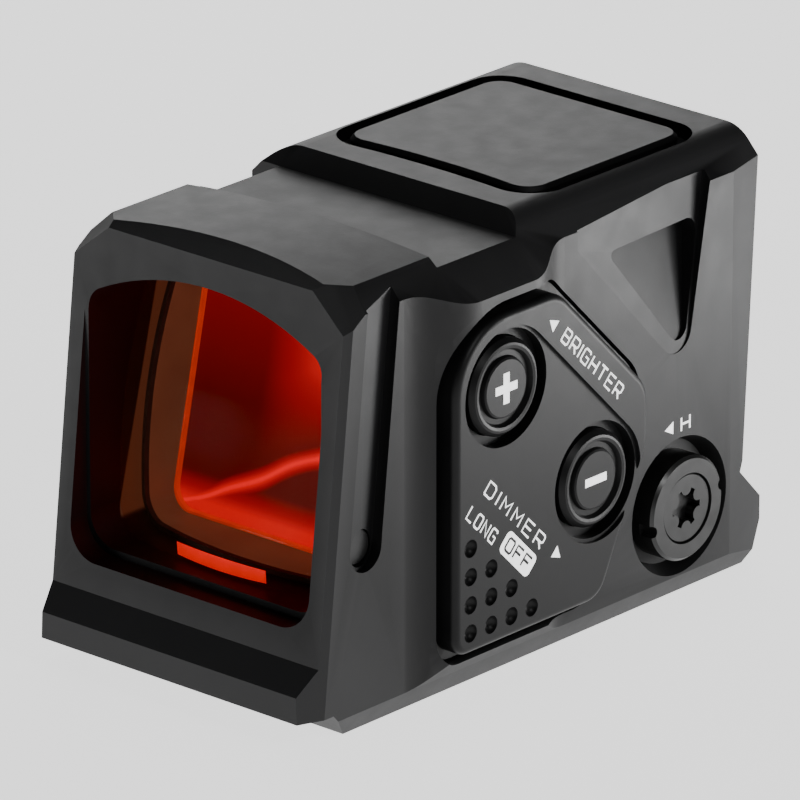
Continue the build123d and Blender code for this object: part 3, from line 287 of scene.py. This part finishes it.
def amber_glass():
    """Thin amber coating: nearly all the light passes, warmly tinted, and a faint sheen
    comes back."""
    made = Shader("amber_coated_glass", IOR=1.5, Roughness=0.02, Specular_IOR_Level=0.2)
    stops = [(0.3, (0.2, 0.08, 0.04)), (0.7, (0.26, 0.11, 0.055))]
    made.finish(colour=made.ramp(made.noise(7.0, 1.0), stops))
    facing = made.node("ShaderNodeLayerWeight")
    facing.inputs["Blend"].default_value = 0.2
    sheen = made.spread(facing.outputs["Facing"], 0.004, 0.12, 0.0, 1.0)
    return see_through(made, (1.0, 0.86, 0.8), sheen)


def red_glass():
    """Red reflecting coating on the collimator, its reflections painted in as light of its own:
    deep red in the middle, a painted highlight towards the upper outer corner, and a painted
    bright band rising across the lower part."""
    made = Shader("red_coated_glass", IOR=1.5, Roughness=0.3, Specular_IOR_Level=0.04)
    across, _, height = made.split(made.position)
    swirl = made.noise(10.0, 1.0)

    # the painted highlight band follows a line that climbs to the right and bends with the swirl
    line = made.calc("MULTIPLY_ADD", across, 0.5, 14.95 * MM)
    bend = made.calc("MULTIPLY", swirl, 2.6 * MM)
    away = made.calc("ABSOLUTE", made.calc("SUBTRACT", height, made.calc("ADD", line, bend)))
    band = made.spread(away, 0.9, 0.0, 0.1 * MM, 1.1 * MM)
    # the painted highlight on the upper part is brighter to the right and to the top, and fades
    # towards the band
    right = made.spread(across, 0.0, 1.0, -4.5 * MM, 4.5 * MM)
    up = made.spread(height, 0.0, 1.0, 20.0 * MM, 33.0 * MM)
    corner = made.calc("MULTIPLY_ADD", right, 0.9, made.calc("MULTIPLY", up, 0.3))
    above = made.spread(made.calc("SUBTRACT", height, line), 0.0, 1.0, 2.0 * MM, 9.0 * MM)
    upper = made.calc("MULTIPLY", corner, above)
    # below the band the painted highlight is evenly bright again
    foot = made.spread(height, 0.75, 0.0, 11.4 * MM, 13.6 * MM)
    stops = [
        (0.0, (0.05, 0.0, 0.0006)),
        (0.45, (0.27, 0.0, 0.003)),
        (0.8, (0.62, 0.0, 0.007)),
        (1.0, (0.95, 0.002, 0.012)),
    ]
    painted_highlight = made.calc("MAXIMUM", made.calc("MAXIMUM", upper, band), foot)
    made.glow(made.ramp(painted_highlight, stops), 1.2)
    made.bsdf.inputs["Base Color"].default_value = (0.06, 0.0, 0.0, 1.0)
    return made.finish(normal=made.bump(swirl, 0.02))


def glow_paint(name, colour, strength):
    """Painted glint on a bright bevel: saturated colour with a little painted light of its own,
    standing in for the light the bevel gathers.
    """
    made = Shader(name, Roughness=0.25, IOR=1.5)
    shades = made.ramp(made.noise(1.2, 2.0), [(0.3, [0.85 * c for c in colour]), (0.7, colour)])
    made.glow(shades, strength)
    return made.finish(colour=shades)


def clear_glass():
    """Rear window: clear, faintly green, slightly smeared."""
    made = Shader("clear_glass", IOR=1.5, Roughness=0.02)
    stops = [(0.3, (0.16, 0.22, 0.2)), (0.7, (0.2, 0.26, 0.24))]
    made.finish(colour=made.ramp(made.noise(6.0, 3.0), stops))
    facing = made.node("ShaderNodeFresnel")
    facing.inputs["IOR"].default_value = 1.45
    gloss = made.spread(facing.outputs["Fac"], 0.1, 1.0, 0.0, 1.0)
    return see_through(made, (0.88, 0.95, 0.92), gloss)


def print_paint():
    """Pale printed marks, very slightly uneven, with a little painted light of their own that
    makes them read brighter.
    """
    made = Shader("print_paint", Roughness=0.5, IOR=1.45)
    shades = made.ramp(made.noise(0.5, 4.0), [(0.3, grey(0.72)), (0.7, grey(0.82))])
    made.glow(shades, 1.25)
    return made.finish(colour=shades, normal=made.bump(made.noise(0.08, 2.0), 0.004))


def lit_cell():
    """Bronze-brown matt cell wall with painted light of its own: colour and glow stand in for the
    lit wall that shows as a warm band through the coated glass.
    """
    made = Shader("bronze_glow_cell", Roughness=0.5, IOR=1.45)
    stops = [(0.3, (0.055, 0.021, 0.011)), (0.7, (0.075, 0.03, 0.016))]
    shades = made.ramp(made.noise(5.0, 3.0), stops)
    made.glow(shades, 1.0)
    return made.finish(colour=shades, normal=made.bump(made.noise(0.2, 2.0), 0.01))


MATERIALS = {
    "anodised_body": anodised_material(),
    "rubber_pad": mottled(
        "silicone_pad", (0.004, 0.004, 0.0042), (0.0055, 0.0055, 0.0058), 0.4, 0.44,
        5.0, 0.13, 0.003, IOR=1.5, Specular_IOR_Level=0.17,
    ),
    "seal_rubber": mottled("seal_rubber", grey(0.008), grey(0.014), 0.55, 0.7, 2.0, 0.2, 0.01),
    "blackened_steel": turned_steel(),
    "bright_steel": mottled(
        "bright_steel", grey(0.5), grey(0.62), 0.2, 0.34, 1.5, 0.15, 0.004, Metallic=1.0
    ),
    "amber_glass": amber_glass(),
    "red_glass": red_glass(),
    # the orange rim glows: a painted glint on the lens element's bevel
    "orange_rim": glow_paint("orange_bevel_glint", (0.7, 0.05, 0.008), 0.45),
    "clear_glass": clear_glass(),
    # the lens cell's wall is painted bronze and glows: painted light seen through the coated glass
    "matt_black_plastic": lit_cell(),
    "circuit_board": mottled(
        "solder_mask", (0.012, 0.05, 0.025), (0.02, 0.08, 0.04), 0.3, 0.45, 2.0, 0.2, 0.005
    ),
    "brass_part": mottled(
        "machined_brass", (0.55, 0.38, 0.15), (0.68, 0.48, 0.2), 0.22, 0.36,
        1.5, 0.15, 0.004, Metallic=1.0,
    ),
    "emitter_die": mottled(
        "emitter_die", (0.6, 0.5, 0.3), (0.75, 0.65, 0.4), 0.1, 0.2, 0.4, 0.1, 0.002
    ),
    "insulation": mottled(
        "polyimide_film", (0.4, 0.18, 0.03), (0.5, 0.24, 0.05), 0.25, 0.4, 1.5, 0.2, 0.003
    ),
}

for part in frame["record"]["subparts"]:
    node = NODES[part["node"]]
    node.data.materials.clear()
    node.data.materials.append(MATERIALS[part["material_slot"]])


# ------------------------------------------------------------------ edges of the CAD pieces
def soften(node, width_mm, angle_deg=28.0, segments=2):
    """Round the sharp edges a little, so that they catch the light as machined edges do."""
    bevel = node.modifiers.new("edge_round", "BEVEL")
    bevel.width = width_mm * MM
    bevel.segments = segments
    bevel.limit_method = "ANGLE"
    bevel.angle_limit = math.radians(angle_deg)
    bevel.harden_normals = True
    bevel.use_clamp_overlap = True
    bevel.miter_outer = "MITER_ARC"


for name in NODES:
    NODES[name].data.shade_smooth()
EDGE_WIDTHS = {     # in millimetres
    "housing": 0.16,
    "battery_cover": 0.08,
    "rear_window_bezel": 0.1,
    "base_plate": 0.1,
    "keypad_cover": 0.09,
    "plus_button": 0.07,
    "minus_button": 0.07,
}
for name, width in EDGE_WIDTHS.items():
    soften(NODES[name], width)


# ------------------------------------------------------------------ printed marks
# each letter as lines in a unit box
STROKES = {
    "B": [
        [(0, 0), (0, 1), (0.85, 1), (1, 0.88), (1, 0.62), (0.9, 0.52), (0, 0.52)],
        [(0.9, 0.52), (1, 0.42), (1, 0.12), (0.85, 0), (0, 0)],
    ],
    "R": [
        [(0, 0), (0, 1), (0.85, 1), (1, 0.87), (1, 0.55), (0.85, 0.42), (0, 0.42)],
        [(0.5, 0.42), (1, 0)],
    ],
    "I": [[(0, 0), (0, 1)]],
    "G": [[
        (1, 0.85), (0.85, 1), (0.15, 1), (0, 0.85), (0, 0.15), (0.15, 0), (1, 0), (1, 0.5),
        (0.5, 0.5),
    ]],
    "H": [[(0, 0), (0, 1)], [(1, 0), (1, 1)], [(0, 0.5), (1, 0.5)]],
    "T": [[(0, 1), (1, 1)], [(0.5, 1), (0.5, 0)]],
    "E": [[(1, 1), (0, 1), (0, 0), (1, 0)], [(0, 0.5), (0.85, 0.5)]],
    "D": [[(0, 0), (0, 1), (0.8, 1), (1, 0.8), (1, 0.2), (0.8, 0), (0, 0)]],
    "M": [[(0, 0), (0, 1), (0.5, 0.4), (1, 1), (1, 0)]],
    "L": [[(0, 1), (0, 0), (1, 0)]],
    "O": [[
        (0.15, 0), (0, 0.15), (0, 0.85), (0.15, 1), (0.85, 1), (1, 0.85), (1, 0.15), (0.85, 0),
        (0.15, 0),
    ]],
    "N": [[(0, 0), (0, 1), (1, 0), (1, 1)]],
    "F": [[(1, 1), (0, 1), (0, 0)], [(0, 0.52), (0.85, 0.52)]],
}
NARROW = {"I": 0.0}     # letters narrower than the others, as a share of their width


def link_object(name, data, material):
    made = bpy.data.objects.new(name, data)
    scene.collection.objects.link(made)
    made.data.materials.clear()
    made.data.materials.append(material)
    return made


def side_frame(x, y, z, turn_deg):
    """Matrix that lays a flat drawing on a face across X: drawing right runs towards +Y,
    turned by an angle, and the drawing's own up stays in the face."""
    turn = math.radians(turn_deg)
    right = Vector((0, math.cos(turn), math.sin(turn)))
    up = Vector((0, -math.sin(turn), math.cos(turn)))
    out = Vector((1, 0, 0))
    basis = Matrix((right, up, out)).transposed().to_4x4()
    return Matrix.Translation(Vector((x, y, z)) * MM) @ basis


def stroke_mesh(name, lines, line_mm, height_mm, place, material, body):
    """Printed strokes: round-ended ribbons standing a hair above the surface."""
    curve = bpy.data.curves.new(name, "CURVE")
    curve.dimensions = "3D"
    curve.bevel_depth = line_mm / 2 * MM
    curve.bevel_resolution = 3
    curve.use_fill_caps = True
    for points in lines:
        spline = curve.splines.new("POLY")
        spline.points.add(len(points) - 1)
        for target, (px, py) in zip(spline.points, points):
            target.co = (px * MM, py * MM, 0, 1)
    holder = bpy.data.objects.new(name + "_curve", curve)
    scene.collection.objects.link(holder)
    graph = bpy.context.evaluated_depsgraph_get()
    mesh = bpy.data.meshes.new_from_object(holder.evaluated_get(graph))
    bpy.data.objects.remove(holder)
    flatten = Matrix.Diagonal((1, 1, 2 * height_mm / line_mm, 1))
    mesh.transform(place @ flatten)
    mesh.shade_smooth()
    made = link_object(name, mesh, material)
    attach(made, body)
    return made


def word(text, letter_w, letter_h, gap):
    """Strokes of a word centred on the origin, in millimetres."""
    widths = [NARROW.get(c, 1.0) * letter_w for c in text]
    at = -(sum(widths) + gap * (len(text) - 1)) / 2
    lines = []
    for char, width in zip(text, widths):
        for stroke in STROKES[char]:
            lines.append([(at + px * width, (py - 0.5) * letter_h) for px, py in stroke])
        at += width + gap
    return lines


def flat_piece(name, outline, thick_mm, place, material, body, bevel_mm=0.02):
    """Flat printed or moulded plate from an outline in millimetres, with softened edges."""
    shape = bmesh.new()
    corners = [shape.verts.new((px * MM, py * MM, 0)) for px, py in outline]
    face = shape.faces.new(corners)
    grown = bmesh.ops.extrude_face_region(shape, geom=[face])
    raised = [g for g in grown["geom"] if isinstance(g, bmesh.types.BMVert)]
    bmesh.ops.translate(shape, verts=raised, vec=(0, 0, thick_mm * MM))
    bmesh.ops.recalc_face_normals(shape, faces=shape.faces)
    mesh = bpy.data.meshes.new(name)
    shape.to_mesh(mesh)
    shape.free()
    mesh.transform(place)
    made = link_object(name, mesh, material)
    edge = made.modifiers.new("edge_round", "BEVEL")
    edge.width = bevel_mm * MM
    edge.segments = 2
    edge.limit_method = "ANGLE"
    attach(made, body)
    return made


def rounded_box(width, height, radius, steps=5):
    """Outline of a rounded rectangle centred on the origin."""
    points = []
    for index, (sx, sy) in enumerate(((1, 1), (-1, 1), (-1, -1), (1, -1))):
        for step in range(steps + 1):
            angle = math.radians(90 * (index + step / steps))
            points.append((
                sx * (width / 2 - radius) + radius * math.cos(angle),
                sy * (height / 2 - radius) + radius * math.sin(angle),
            ))
    return points


def middle(name):
    low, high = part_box(name)
    return (low + high) / 2 / MM


paint = print_paint()
ink = MATERIALS["rubber_pad"]
PAD_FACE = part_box("keypad_cover")[1].x / MM
SIDE_X = -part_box("housing")[0].x / MM
BUTTON_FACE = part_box("plus_button")[1].x / MM - 0.02
PRINT_H = 0.03
MARK_H = 0.04
INK_H = 0.055       # the dark letters stand just above the pale panel
TEXT_TURN = -45.0
ARROW = ((-0.62, 0), (0.45, 0.55), (0.45, -0.55))


def pad_place(y, z, turn=TEXT_TURN):
    return side_frame(PAD_FACE, y, z, turn)


# name, word, letter width, letter height, gap between letters, and its middle in Y and Z
LABELS = (
    ("brighter_label", "BRIGHTER", 0.92, 1.15, 0.48, 4.5, 24.4),
    ("dimmer_label", "DIMMER", 1.15, 1.15, 0.74, -4.8, 14.2),
    ("long_label", "LONG", 0.78, 1.12, 0.42, -8.75, 14.5),
)
for name, text, wide, high, gap, y, z in LABELS:
    lines = word(text, wide, high, gap)
    stroke_mesh(name, lines, 0.19, PRINT_H, pad_place(y, z), paint, "housing")

off_place = pad_place(-4.45, 10.8)
flat_piece("off_panel", rounded_box(4.8, 2.0, 0.5), PRINT_H, off_place, paint, "housing")
stroke_mesh("off_label", word("OFF", 0.92, 1.1, 0.46), 0.28, INK_H, off_place, ink, "housing")
flat_piece("brighter_arrow", ARROW, PRINT_H, pad_place(-0.3, 29.1), paint, "housing")
flat_piece("dimmer_arrow", ARROW, PRINT_H, pad_place(0.25, 9.4, 135.0), paint, "housing")

BAR_L = 2.6
BAR_W = 0.72
plus_outline = []
for quarter in range(4):
    angle = math.radians(90 * quarter)
    for px, py in ((BAR_L / 2, -BAR_W / 2), (BAR_L / 2, BAR_W / 2), (BAR_W / 2, BAR_W / 2)):
        plus_outline.append((
            px * math.cos(angle) - py * math.sin(angle),
            px * math.sin(angle) + py * math.cos(angle),
        ))
minus_outline = [
    (-BAR_L / 2, -BAR_W / 2),
    (BAR_L / 2, -BAR_W / 2),
    (BAR_L / 2, BAR_W / 2),
    (-BAR_L / 2, BAR_W / 2),
]
for sign, outline in (("plus", plus_outline), ("minus", minus_outline)):
    button = sign + "_button"
    centre = middle(button)
    place = side_frame(BUTTON_FACE, centre.y, centre.z, 0)
    flat_piece(sign + "_mark", outline, MARK_H, place, paint, button)

height_lines = word("H", 1.05, 1.15, 0.4)
stroke_mesh(
    "height_label", height_lines, 0.2, PRINT_H, side_frame(SIDE_X, 18.2, 15.0, 0), paint, "housing"
)
flat_piece("height_arrow", ARROW, PRINT_H, side_frame(SIDE_X, 16.2, 15.0, 0), paint, "housing")


# ------------------------------------------------------------------ painted glint at the lens foot
LENS_RADIUS = 42.0 * MM     # the objective's outer face
LENS_AXIS_Z = 14.0 * MM
STRIP_HALF = 4.75 * MM
STRIP_FOOT = 0.35 * MM      # above the lens' lowest point
STRIP_TALL = 1.1 * MM
STRIP_SAG = 0.12 * MM
STRIP_PROUD = 0.03 * MM
STRIP_STEPS = 24


def lens_foot_glint():
    """Narrow strip at the bottom of the objective, curved with the glass, glowing as a painted
    reflection of a lit facet.
    """
    lens_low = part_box("front_lens")[0]
    low_z = lens_low.z + STRIP_FOOT
    centre_y = lens_low.y + LENS_RADIUS
    shape = bmesh.new()
    rows = []
    for rise, sag in ((0.0, STRIP_SAG), (STRIP_TALL, 0.0)):
        row = []
        for step in range(STRIP_STEPS + 1):
            x = -STRIP_HALF + 2 * STRIP_HALF * step / STRIP_STEPS
            z = low_z + rise - sag * (1 - (x / STRIP_HALF) ** 2)
            depth = math.sqrt(LENS_RADIUS ** 2 - x ** 2 - (z - LENS_AXIS_Z) ** 2)
            row.append(shape.verts.new((x, centre_y - depth - STRIP_PROUD, z)))
        rows.append(row)
    low_row, high_row = rows
    for step in range(STRIP_STEPS):
        shape.faces.new((low_row[step], low_row[step + 1], high_row[step + 1], high_row[step]))
    mesh = bpy.data.meshes.new("lens_foot_glint")
    shape.to_mesh(mesh)
    shape.free()
    glow = glow_paint("lens_foot_glow", (0.85, 0.006, 0.0), 0.6)
    made = link_object("lens_foot_glint", mesh, glow)
    solid = made.modifiers.new("thickness", "SOLIDIFY")
    solid.thickness = 0.04 * MM
    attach(made, "housing")


lens_foot_glint()


# ------------------------------------------------------------------ floor, light and camera
def floor():
    bpy.ops.mesh.primitive_plane_add(size=4.0, location=(0, 0, cad_box[0][2] - 0.02 * MM))
    made = bpy.context.object
    made.name = "studio_floor"
    shade = Shader("pale_floor", Roughness=0.9)
    colour = shade.ramp(shade.noise(60.0, 2.0), [(0.3, grey(0.2)), (0.7, grey(0.22))])
    shade.bsdf.inputs["Emission Color"].default_value = (1.0, 1.0, 1.0, 1.0)
    shade.bsdf.inputs["Emission Strength"].default_value = 1.6
    made.data.materials.append(shade.finish(colour=colour))


def softbox(name, place, aim, size, power):
    light = bpy.data.lights.new(name, "AREA")
    light.shape = "RECTANGLE"
    light.size, light.size_y = size
    light.energy = power
    made = bpy.data.objects.new(name, light)
    scene.collection.objects.link(made)
    made.location = Vector(place)
    made.rotation_euler = (Vector(aim) - Vector(place)).to_track_quat("-Z", "Y").to_euler()


def world(horizon, zenith):
    """Air that is pale at the horizon and dark overhead."""
    made = bpy.data.worlds.new("studio_air")
    scene.world = made
    made.use_nodes = True
    tree = made.node_tree
    back = tree.nodes["Background"]
    where = tree.nodes.new("ShaderNodeTexCoord")
    split = tree.nodes.new("ShaderNodeSeparateXYZ")
    tree.links.new(where.outputs["Generated"], split.inputs["Vector"])
    fade = tree.nodes.new("ShaderNodeMapRange")
    fade.interpolation_type = "SMOOTHSTEP"
    fade.inputs["From Min"].default_value = 0.1
    fade.inputs["From Max"].default_value = 0.6
    fade.inputs["To Min"].default_value = horizon
    fade.inputs["To Max"].default_value = zenith
    tree.links.new(split.outputs["Z"], fade.inputs["Value"])
    tree.links.new(fade.outputs["Result"], back.inputs["Strength"])


TARGET = Vector((0.0, 0.6875, 17.6)) * MM
AZIMUTH = math.radians(41.657)
ELEVATION = math.radians(20.866)
DISTANCE = 831.4 * MM


def camera():
    back = Vector((
        math.sin(AZIMUTH) * math.cos(ELEVATION),
        -math.cos(AZIMUTH) * math.cos(ELEVATION),
        math.sin(ELEVATION),
    ))
    data = bpy.data.cameras.new("camera")
    data.lens = 465.6
    data.sensor_width = 36.0
    data.shift_x = -0.0079
    data.shift_y = 0.0093
    data.clip_end = 20.0
    made = bpy.data.objects.new("camera", data)
    scene.collection.objects.link(made)
    made.location = TARGET + back * DISTANCE
    made.rotation_euler = back.to_track_quat("Z", "Y").to_euler()
    scene.camera = made


# name, where it stands, what it is aimed at, its size, its power
LIGHTS = (
    ("right_rear_box", (0.066, 0.066, 0.011), (0.0146, 0.01, 0.028), (0.04, 0.02), 0.07),
    ("rear_left_box", (-0.13, 0.13, 0.095), (0, 0.01, 0.037), (0.1, 0.06), 0.09),
    ("front_left_box", (-0.066, -0.085, 0.012), (-0.01, -0.025, 0.025), (0.03, 0.02), 0.012),
    ("right_box", (0.4, -0.1, 0.35), TARGET, (0.12, 0.12), 0.8),
    ("top_box", (-0.05, 0.1, 0.6), TARGET, (0.2, 0.2), 0.8),
)

floor()
world(0.25, 0.02)
for light in LIGHTS:
    softbox(*light)
camera()
